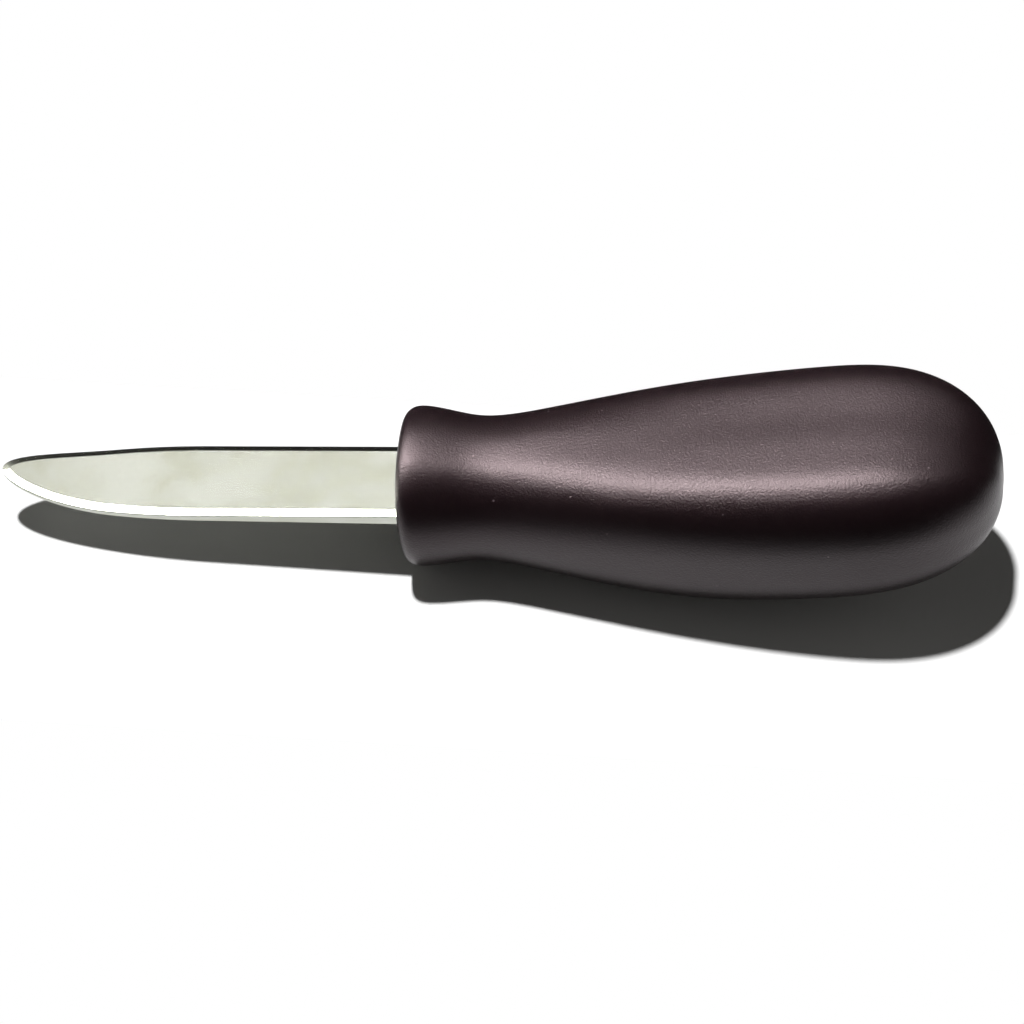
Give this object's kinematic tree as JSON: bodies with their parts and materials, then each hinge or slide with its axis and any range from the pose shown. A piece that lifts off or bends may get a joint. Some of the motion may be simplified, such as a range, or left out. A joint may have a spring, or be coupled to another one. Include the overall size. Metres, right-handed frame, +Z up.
{
  "type": "oyster knife",
  "caption": "Short blunt stainless oyster knife blade with an upturned point, in a bulb-shaped black moulded plastic handle.",
  "frame": {"origin": "on the table, under the middle of the knife's bounding box as it lies at rest", "axes": "+X along the knife from the point of the blade to the butt of the handle, +Y across the blade, +Z up from the table; the knife's own axis rises towards the butt, because the belly of the handle is deeper than its collar"},
  "size_m": [0.177, 0.0384, 0.038],
  "materials": {
    "blade_steel": "finely ground and polished stainless steel",
    "handle_plastic": "black moulded polypropylene with a fine spark-eroded grain and a satin sheen"
  },
  "bodies": {
    "root": {"blade": "blade_steel", "handle": "handle_plastic"}
  },
  "joints": []
}
